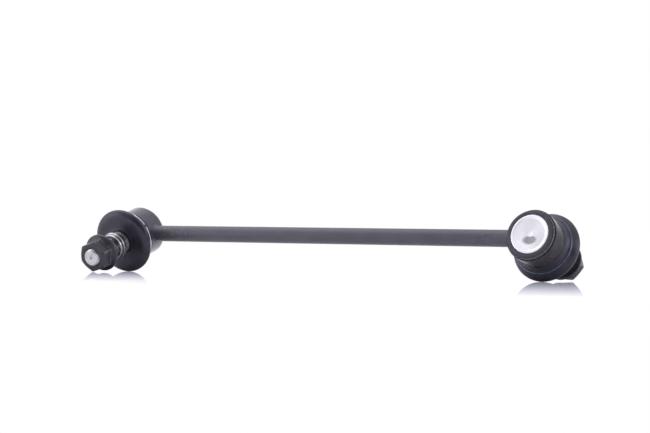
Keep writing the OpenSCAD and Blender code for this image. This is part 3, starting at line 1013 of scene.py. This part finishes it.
@dataclass
class BallStud:
    """The turned stud: ball, neck, boot seat, collar, pilot and a cut thread.

    Fields:
        ball: the ball's radius.
        flat: radius of the flat on its back.
        neck: the neck's radius.
        neck_z: end of the neck.
        seat: radius of the boot's seat.
        seat_z: start of the seat.
        collar: the collar's radius at its back.
        collar_z: back of the collar.
        face: radius of the collar's front face.
        face_z: front of the collar.
        pilot: the pilot's radius.
        thread_z: start of the thread.
        thread: outer radius of the thread.
        pitch: from one turn of the thread to the next.
        depth: depth of the thread.
        end_z: end of the stud.
        end_chamfer: chamfer at the end.
        mark: radius of the centre mark.
        columns: points round the stud.
        thread_rows: points along the thread.
    """

    ball: float = 7.75
    flat: float = 4.5
    neck: float = 5.0
    neck_z: float = 16.5
    seat: float = 6.4
    seat_z: float = 19.3
    collar: float = 9.8
    collar_z: float = 29.0
    face: float = 8.5
    face_z: float = 33.0
    pilot: float = 6.25
    thread_z: float = 37.0
    thread: float = 5.87
    pitch: float = 1.25
    depth: float = 0.74
    end_z: float = 56.5
    end_chamfer: float = 0.7
    mark: float = 1.2
    columns: int = 144
    thread_rows: int = 280

    def cut(self, z: Array, around: Array) -> Array:
        """How deep the thread is at a height and an angle.

        The phase is the height in pitches less the turns; the groove is flat over a quarter of the pitch, its
        flanks are straight, and the crest is flat over an eighth. It runs out over one pitch at the pilot.

        Args:
            z: heights, (n, 1).
            around: angles, (m,).

        Returns:
            Depths, (n, m).
        """
        off = np.abs(2 * np.mod(z / self.pitch - around / TURN, 1.0) - 1)
        started = np.clip((z - self.thread_z - 0.2) / self.pitch, 0, 1)
        return self.depth * started * np.clip((0.875 - off) / 0.625, 0, 1)

    def stud(self, end: LinkEnd) -> bpy.types.Object:
        """The stud's line spun round its axis, less the thread's groove.

        The thread's radius is the smaller of the cut thread's and the line's, so the chamfer cuts the crests.

        Args:
            end: the end that carries it.

        Returns:
            The stud.
        """
        back = -math.sqrt(self.ball**2 - self.flat**2)
        ball = arc((0, 0), self.ball, math.degrees(math.atan2(back, self.flat)),
                   math.degrees(math.acos(self.neck / self.ball)), 48)
        flank = np.linspace((self.collar, self.collar_z + 0.4), (self.face, self.face_z), 9)
        section = np.array([
            (self.neck, ball[-1, 1] + 0.4, 0), (self.neck, self.neck_z, 0.6), (self.seat, self.seat_z, 0.3),
            (self.seat, self.collar_z, 0.25), (self.collar - 0.4, self.collar_z, 0.15), (*flank[0], 0.15),
            (*flank[3], 0.05), (*(flank[4] - (0.2, 0.1)), 0.08), (*flank[5], 0.05), (*flank[8], 0.3),
            (self.pilot, self.face_z, 0.25), (self.pilot, self.thread_z - 0.2, 0.2),
            (self.thread, self.thread_z, 0)])
        line, wear = soften(section[:, :2], section[:, 2], closed=False)
        tip, end_r = self.end_z - self.end_chamfer, self.thread - self.end_chamfer
        turns = np.linspace((self.thread, self.thread_z), (self.thread, tip), self.thread_rows + 1)[1:]
        chamfer = np.linspace((self.thread, tip), (end_r, self.end_z), 13)[1:]
        face = np.linspace((end_r - 0.05, self.end_z), (self.mark + 0.05, self.end_z), 12)
        mark = np.linspace((self.mark, self.end_z - 0.02), (0.08, self.end_z - self.mark), 8)
        rear = [(0.3, back), (self.flat - 0.2, back)]
        path = np.concatenate([rear, ball, line, turns, chamfer, face, mark])
        first = len(rear) + len(ball)
        start = first + len(line)
        worn = np.zeros(len(path))
        worn[first:start] = wear
        around = angles(self.columns)
        grid = spin(path, around)
        rows = slice(start, start + len(turns) + len(chamfer))
        radius = np.minimum(self.thread - self.cut(path[rows, 1:], around), path[rows, :1])
        grid[rows, :, 0], grid[rows, :, 1] = radius * np.cos(around), radius * np.sin(around)
        piece = make_piece(end.name("turned_stud"), end.place(grid), worn)
        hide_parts(end.name("ball_stud"))
        STUD_PLATE.dress(piece, end)
        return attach(piece, end.name("stud"))


@dataclass(frozen=True)
class Wire:
    """A round wire bent into a helix round the stud's axis, with rounded ends.

    Fields:
        radius: radius of the wire's middle line.
        z: where it starts along the stud.
        thick: the wire's own radius.
        start: angle of its first end, in degrees.
        turns: how many turns it has.
        pitch: from one turn to the next.
        rows: points along the wire.
        sides: points round it.
    """

    radius: float
    z: float
    thick: float
    start: float
    turns: float
    pitch: float
    rows: int
    sides: int

    def grid(self) -> Array:
        """The wire as a tube on the helix whose height is z plus the pitch times the turns.

        Returns:
            A grid of points in the joint's frame, (rows, sides, 3).
        """
        turns = np.linspace(0.0, self.turns, self.rows)
        a = TURN * turns + math.radians(self.start)
        out = np.stack([np.cos(a), np.sin(a), np.zeros_like(a)], -1)
        up = np.broadcast_to([0.0, 0.0, 1.0], out.shape)
        path = self.radius * out + (self.z + self.pitch * turns)[:, None] * up
        size = self.thick * round_ends(self.rows, self.radius * TURN * self.turns, self.thick)
        return tube(path, size, out, up, self.sides)


@dataclass
class Boot:
    """The rubber bell between housing and stud, with its two clips.

    Fields:
        housing: the housing whose nose it grips.
        stud: the stud whose seat it grips.
        clip: the wire ring that holds it on the housing.
        coil: the wound wire that holds its neck.
        rim: radius of the rim's rounding centre.
        rim_z: its place along the stud.
        rim_round: the rim's rounding.
        wall: thickness of the rubber.
        crown: radius of the crown between rim and neck.
        crown_z: the crown's height.
        fold: radius of the rounding centre of the front's inner edge, beside the coil.
        fold_z: its place along the stud.
        fold_round: that edge's rounding.
        neck: outer radius of the neck.
        seat_z: where the neck's bore starts.
        bell_bend: where along the stud the bell's bend would start and end; passed on but not used.
        front_bend: the same for the front, also not used.
        columns: points round the boot.
    """

    housing: Housing
    stud: BallStud
    clip: Wire = Wire(19.097, 12.0, 0.45, -148.0, 354 / 360, 0.0, 241, 24)
    coil: Wire = Wire(7.85, 22.68, 0.55, 140.0, 5.0, 1.104, 361, 20)
    rim: float = 20.197
    rim_z: float = 17.6
    rim_round: float = 2.4
    wall: float = 1.6
    crown: float = 15.849
    crown_z: float = 21.2
    fold: float = 9.6
    fold_z: float = 21.2
    fold_round: float = 0.75
    neck: float = 7.2
    seat_z: float = 21.55
    bell_bend: tuple[float, float] = (12.6, 17.5)
    front_bend: tuple[float, float] = (18.0, 21.2)
    columns: int = 176

    def piece(self, end: LinkEnd, part: str, outer: Array, inner: Array) -> bpy.types.Object:
        """Spins a closed section of outer and inner lines; the shading breaks at the cut on the rim.

        Args:
            end: the end that carries it.
            part: the piece's name.
            outer: the outside, which starts or ends on the rim's cut.
            inner: the inside, back to the start.

        Returns:
            The piece.
        """
        line = joined(outer, inner)
        cut = np.flatnonzero(np.abs(line[:, 1] - self.rim_z) < 1e-6)
        grid = end.place(spin(line, angles(self.columns)))
        piece = make_piece(end.name(part), grid, loop=True, sharp_rows=tuple(int(i) for i in cut))
        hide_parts(end.name("boot"))
        BOOT_RUBBER.dress(piece, end)
        return piece

    def bell(self, end: LinkEnd) -> bpy.types.Object:
        """From the bead in the housing's groove, round the clip's seat and up the flank to the rim's middle.

        Args:
            end: the end that carries it.

        Returns:
            The bell.
        """
        side, back_z = self.housing.barrel, self.housing.front_z + FIT
        bead, bead_z = self.housing.groove + FIT, self.housing.lip_z - FIT
        lip, nose_z = self.housing.lip + FIT, self.housing.nose_z + FIT
        r, z, notch = self.clip.radius, self.clip.z, self.clip.thick + 0.05
        rim, full = np.array([self.rim, self.rim_z]), self.rim_round
        outer = joined(
            (bead, back_z), (side - 0.3, back_z),
            curve((side, back_z + 0.2), (0, 0.4 * (z - back_z)), (notch, notch),
                  (r - notch / 4, z - notch), 16),
            arc((r, z), notch, -90, -270, 16),
            curve((r + notch / 2, z + notch), (0, 1.0), (0.7 * full, full), arc(rim, full, -35, -35, 1)[0]),
            arc(rim, full, -30, 0, 10))
        inner = joined(
            arc(rim, full - self.wall, 0, -45, 6), (r - notch, nose_z), (lip, nose_z), (lip, bead_z),
            (bead, bead_z))
        piece = self.piece(end, "boot_bell", outer, inner)
        start, stop = (end.on_axis(z) for z in self.bell_bend)
        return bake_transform(piece, LINK, end.name("boot"), start, stop)

    def front(self, end: LinkEnd) -> bpy.types.Object:
        """From the middle of the rim, over the domed front to the coil, and out along the neck.

        Args:
            end: the end that carries it.

        Returns:
            The front.
        """
        rim, fold = np.array([self.rim, self.rim_z]), np.array([self.fold, self.fold_z])
        crown, under = np.array([self.crown, self.crown_z]), np.array([self.crown, self.crown_z - self.wall])
        full, small, lip, slope = self.rim_round, self.rim_round - self.wall, self.fold_round, math.sqrt(0.5)
        bore, end_z = self.stud.seat + FIT, self.stud.collar_z - FIT
        r, coil_z = self.coil.radius, self.coil.z - self.coil.thick - 0.05
        outer = joined(
            arc(rim, full, 0, 45, 16),
            curve(rim + full * slope, (-0.8 * full * slope, 0.8 * full * slope), (-full, 0), crown),
            curve(crown, (-self.wall, 0), (-0.5 * lip, 0.4 * lip), arc(fold, lip, 65, 65, 1)[0], 16),
            arc(fold, lip, 65, 95, 8), (r + 0.4, coil_z), (r, coil_z), (self.neck, coil_z),
            (self.neck, end_z - 0.3), (self.neck - 0.15, end_z), (bore, end_z))
        inner = joined(
            curve((bore, self.seat_z), (0, -0.7), (0.7, 0), (self.neck + 0.7, self.fold_z - lip), 8),
            curve(fold - (0, lip), (lip, 0), (full, 0), under, 14),
            curve(under, (full, 0), (0.8 * slope, -0.8 * slope), rim + small * slope, 14),
            arc(rim, small, 40, 0, 8))
        piece = self.piece(end, "boot_front", outer, inner)
        start, stop = (end.on_axis(z) for z in self.front_bend)
        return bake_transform(piece, end.name("boot"), end.name("neck"), start, stop)

    def ring_clip(self, end: LinkEnd) -> bpy.types.Object:
        """The wire ring round the bell, with a small gap between its ends.

        Args:
            end: the end that carries it.

        Returns:
            The clip.
        """
        piece = make_piece(end.name("ring_clip"), end.place(self.clip.grid()))
        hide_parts(end.name("boot_clip"))
        # The left clip takes the lit copy and the right the shaded copy: painted glint and painted shade.
        (LIT_CLIP_WIRE if end.side is Side.LEFT else SHADED_CLIP_WIRE).dress(piece, end)
        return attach(piece, LINK)

    def coil_clip(self, end: LinkEnd) -> bpy.types.Object:
        """The wire wound round the boot's neck.

        Args:
            end: the end that carries it.

        Returns:
            The clip.
        """
        piece = make_piece(end.name("coil_clip"), end.place(self.coil.grid()))
        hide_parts(end.name("neck_clip"))
        GREY_WIRE.dress(piece, end)
        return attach(piece, end.name("neck"))


@dataclass
class FlangeNut:
    """The hexagon nut with its coned flange.

    Fields:
        z: the flange's face.
        height: the nut's height.
        flat: half the width across the flats.
        flange: the flange's radius.
        edge: height of the flange's edge.
        slope: slope of the flange's cone and of the chamfer on the hexagon's top, in degrees.
        bore: radius of the bore.
        sink: countersink at both ends of the bore.
        sharpness: how crisp the hexagon's corners are.
        left_turn: turn of the left nut in degrees, away from one corner down.
        right_turn: turn of the right nut.
        columns: points round each of the six sides.
    """

    z: float = 43.0
    height: float = 12.0
    flat: float = 9.5
    flange: float = 13.0
    edge: float = 1.6
    slope: float = 30.0
    bore: float = 5.95
    sink: float = 0.6
    sharpness: float = 70.0
    left_turn: float = -14.0
    right_turn: float = 35.0
    columns: int = 40

    def nut(self, end: LinkEnd) -> bpy.types.Object:
        """The nut: at each angle its own section, with the hexagon's radius there.

        That radius is flat / (sum of the six faces' cosines to the power of the sharpness)^(1 / sharpness),
        which rounds the corners. The angles crowd towards the corners as a sine does. Wear weights, which also
        carry painted edge highlights, lie on the small roundings and, on the hexagon's wall, along its six
        corners.

        Args:
            end: the end that carries it.

        Returns:
            The nut.
        """
        spread = np.sin(np.linspace(-0.5, 0.5, self.columns, endpoint=False) * math.pi) * TURN / 12
        sides = np.arange(6) * TURN / 6
        around = (sides[:, None] + spread).reshape(-1)
        faces = np.maximum(np.cos(around[:, None] - sides), 0) ** self.sharpness
        hexagon = self.flat / faces.sum(1) ** (1 / self.sharpness)
        rise, rim, mouth = math.tan(math.radians(self.slope)), self.flat - 0.3, self.bore + self.sink
        low, top = self.z, self.z + self.height
        cone, shoulder = low + self.edge + (self.flange - hexagon) * rise, top - (hexagon - rim) * rise
        section = [(self.bore, low + self.sink, 0.1), (mouth, low, 0.1), (self.flange - 0.4, low, 0.12),
                   (self.flange, low + 0.4, 0.2), (self.flange, low + self.edge, 0.35), (hexagon, cone, 0.55),
                   (hexagon, shoulder, 0.16), (rim, top, 0.12), (mouth, top, 0.12),
                   (self.bore, top - self.sink, 0.1)]
        corners = np.stack([np.stack(np.broadcast_arrays(r, z, around)[:2], -1) for r, z, _ in section], 1)
        line, wear = soften(corners, np.array([cut for *_, cut in section]), closed=True)
        shoulder_row = 6 * len(wear) // len(section)
        wall = np.zeros(len(wear))
        wall[shoulder_row - 1 : shoulder_row + 2] = 1
        ridge = np.clip((hexagon - self.flat * 1.1) / (self.flat * 0.03), 0, 1)
        worn = np.maximum(wear[:, None], wall[:, None] * ridge)
        turn = math.radians(self.right_turn if end.side is Side.RIGHT else self.left_turn)
        piece = make_piece(end.name("flange_nut"), end.place(spin(line, around + turn)), worn, loop=True)
        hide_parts(end.name("nut"))
        NUT_BLACK.dress(piece, end)
        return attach(piece, end.name("nut"))


def stand(data: bpy.types.ID, right: Array, up: Array, back: Array, place: Array) -> bpy.types.Object:
    """Puts a camera or a lamp into the scene.

    Args:
        data: the camera or lamp, whose name the object takes.
        right: direction of its own X.
        up: direction of its own Y.
        back: direction of its own Z, away from what it faces.
        place: where it stands, in metres.

    Returns:
        The new object.
    """
    thing = bpy.data.objects.new(data.name, data)
    bpy.context.scene.collection.objects.link(thing)
    pose = np.eye(4)
    pose[:3] = np.stack([right, up, back, place], -1)
    thing.matrix_world = Matrix(pose.tolist())
    return thing


@dataclass(frozen=True)
class Lamp:
    """A square soft lamp that faces the link's middle.

    Fields:
        name: its name.
        place: where it hangs, in metres.
        size: its side, in metres.
        power: its power in watts.
    """

    name: str
    place: tuple[float, float, float]
    size: float
    power: float

    def hang(self) -> None:
        """Adds the lamp to the scene."""
        data = bpy.data.lights.new(self.name, "AREA")
        data.size, data.energy = self.size, self.power
        back = np.array(self.place) / np.linalg.norm(self.place)
        right = np.cross((0.0, 0.0, 1.0), back)
        right /= np.linalg.norm(right)
        stand(data, right, np.cross(back, right), back, np.array(self.place))


@dataclass
class Studio:
    """White floor, soft light and the camera of the photograph.

    Fields:
        azimuth: the camera's turn round the link, in degrees.
        elevation: its height above the horizon, in degrees.
        roll: its roll, in degrees.
        distance: from the target, in metres.
        target: what it looks at.
        focal: focal length in image widths.
        lamps: the soft lamps.
        dark: the side of the room that is dark, a unit vector.
        depth: how dark its middle is.
        dark_edge: where the dark starts and is full, as cosines of the angle from its middle.
        lift: how much brighter the opposite side is.
        lift_edge: where that starts and is full, as cosines.
        tint: colour of the room's light.
        half: half of the floor's side, in metres.
        sheet: colour of the floor.
        mirror: share of the floor's mirror image at an end of the link.
        reach: how far from an end the mirror fades out, in metres.
        tinge: cool light that the fading image takes on.
    """

    azimuth: float = 31.257
    elevation: float = -0.551
    roll: float = -0.815
    distance: float = 1.275
    target: tuple[float, float, float] = (0.00029, 0.0, 0.04002)
    focal: float = 1904.6 / 650
    lamps: tuple[Lamp, ...] = (Lamp("overhead", (-0.6, -0.1, 1.1), 1.2, 5.5),
                               Lamp("low_left", (-1.1, -0.8, 0.3), 0.8, 3.0),
                               Lamp("right", (1.2, 0.15, 0.35), 0.6, 2.0))
    dark: tuple[float, float, float] = (0.55, -0.83, -0.05)
    depth: float = 0.94
    dark_edge: tuple[float, float] = (0.35, 0.96)
    lift: float = 0.12
    lift_edge: tuple[float, float] = (0.6, 0.9)
    tint: Rgb = (0.955, 0.94, 1.0)
    half: float = 6.0
    sheet: Rgb = (0.93, 0.93, 0.94)
    mirror: float = 0.80
    reach: float = 0.29
    tinge: Rgb = (0.03, 0.03, 0.33)

    def camera(self) -> None:
        """Sets up the camera: its axes come from azimuth and elevation, then the roll turns two of them."""
        az, el, roll = (math.radians(v) for v in (self.azimuth, self.elevation, self.roll))
        back = np.array([math.sin(az) * math.cos(el), -math.cos(az) * math.cos(el), math.sin(el)])
        level = np.array([math.cos(az), math.sin(az), 0.0])
        down = np.cross(-back, level)
        right = math.cos(roll) * level + math.sin(roll) * down
        down = math.cos(roll) * down - math.sin(roll) * level
        data = bpy.data.cameras.new("photo_camera")
        data.sensor_width, data.lens = 36.0, 36.0 * self.focal
        data.clip_start, data.clip_end = 0.01, 100.0
        place = np.array(self.target) + self.distance * back
        bpy.context.scene.camera = stand(data, right, -down, back, place)

    def world(self) -> None:
        """White to the eye and in the floor's sharp mirror; else a tinted room, dark at one side."""
        world = bpy.data.worlds.new("white_room")
        bpy.context.scene.world = world
        tree = Tree(world)
        rays = tree.add("ShaderNodeLightPath").out.node.outputs
        camera, sharp = (Socket(tree, rays[f"Is {kind} Ray"]) for kind in ("Camera", "Singular"))
        eye = camera.math("MAXIMUM", sharp)
        direction = tree.add("ShaderNodeTexCoord", out="Generated")
        facing = tree.add("ShaderNodeVectorMath", {"operation": "DOT_PRODUCT"},
                          {0: direction, 1: self.dark}, out="Value")
        room = 1 - self.depth * tree.step(facing, *self.dark_edge)
        room = room + self.lift * tree.step(0 - facing, *self.lift_edge)
        light = tree.add("ShaderNodeBackground", None, {
            "Color": tree.blend(eye, self.tint, WHITE), "Strength": eye + (1 - eye) * room})
        tree.add("ShaderNodeOutputWorld", None, {"Surface": light})

    def floor(self, ends: list[LinkEnd]) -> None:
        """A white floor, plain white to the eye, with a mirror sheen round each end of the link.

        The mirror's share s falls as 1 - (d / reach)^1.5, where d is the distance from the nearer end, and a
        blue tinge follows s (1 - s), so the image cools as it fades.

        Args:
            ends: left and right end.
        """
        mesh, far = bpy.data.meshes.new("studio_floor"), self.half
        mesh.from_pydata([(-far, -far, 0), (far, -far, 0), (far, far, 0), (-far, far, 0)], [], [(0, 1, 2, 3)])
        floor = bpy.data.objects.new("studio_floor", mesh)
        bpy.context.scene.collection.objects.link(floor)
        material = bpy.data.materials.new("studio_floor")
        mesh.materials.append(material)
        tree = Tree(material)
        point = tree.add("ShaderNodeTexCoord", out="Object")
        left, right = (tree.add("ShaderNodeVectorMath", {"operation": "DISTANCE"},
                                {0: point, 1: (*end.centre[:2], 0.0)}, out="Value") for end in ends)
        near = left.math("MINIMUM", right) / self.reach
        share = self.mirror * (1 - near.math("MINIMUM", 1.0) ** 1.5)
        eye = tree.add("ShaderNodeLightPath", out="Is Camera Ray")
        sheet = tree.add("ShaderNodeBsdfPrincipled", None, {"Base Color": self.sheet, "Roughness": 0.5})
        white = tree.add("ShaderNodeEmission", None, {"Color": WHITE, "Strength": 1.0})
        sheen = tree.add("ShaderNodeBsdfGlossy", None, {"Color": WHITE, "Roughness": 0.0})
        seen = tree.add("ShaderNodeMixShader", None, {0: share, 1: white, 2: sheen})
        cool = tree.blend(share * (1 - share), (0.0, 0.0, 0.0), self.tinge)
        tinge = tree.add("ShaderNodeEmission", None, {"Color": cool})
        seen = tree.add("ShaderNodeAddShader", None, {0: seen, 1: tinge})
        both = tree.add("ShaderNodeMixShader", None, {0: eye, 1: sheet, 2: seen})
        tree.add("ShaderNodeOutputMaterial", None, {"Surface": both})

    def build(self, ends: list[LinkEnd]) -> None:
        """Floor, world, lamps and camera round the link.

        Args:
            ends: left and right end.
        """
        bpy.context.scene.view_settings.view_transform = "Standard"
        self.floor(ends)
        self.world()
        for lamp in self.lamps:
            lamp.hang()
        self.camera()


def main() -> None:
    logging.basicConfig(level=logging.INFO, format="%(name)s: %(message)s")
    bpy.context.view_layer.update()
    ends = [LinkEnd.of(side) for side in Side]
    rod, housing, stud, nut = Rod(), Housing(), BallStud(), FlangeNut()
    boot = Boot(housing, stud)
    rod.bar(ends)
    for end in ends:
        housing.cup(end)
        housing.closing_cap(end)
        housing.inside(end)
        boot.bell(end)
        boot.front(end)
        boot.ring_clip(end)
        boot.coil_clip(end)
        stud.stud(end)
        nut.nut(end)
    Studio().build(ends)


if __name__ == "__main__":
    main()
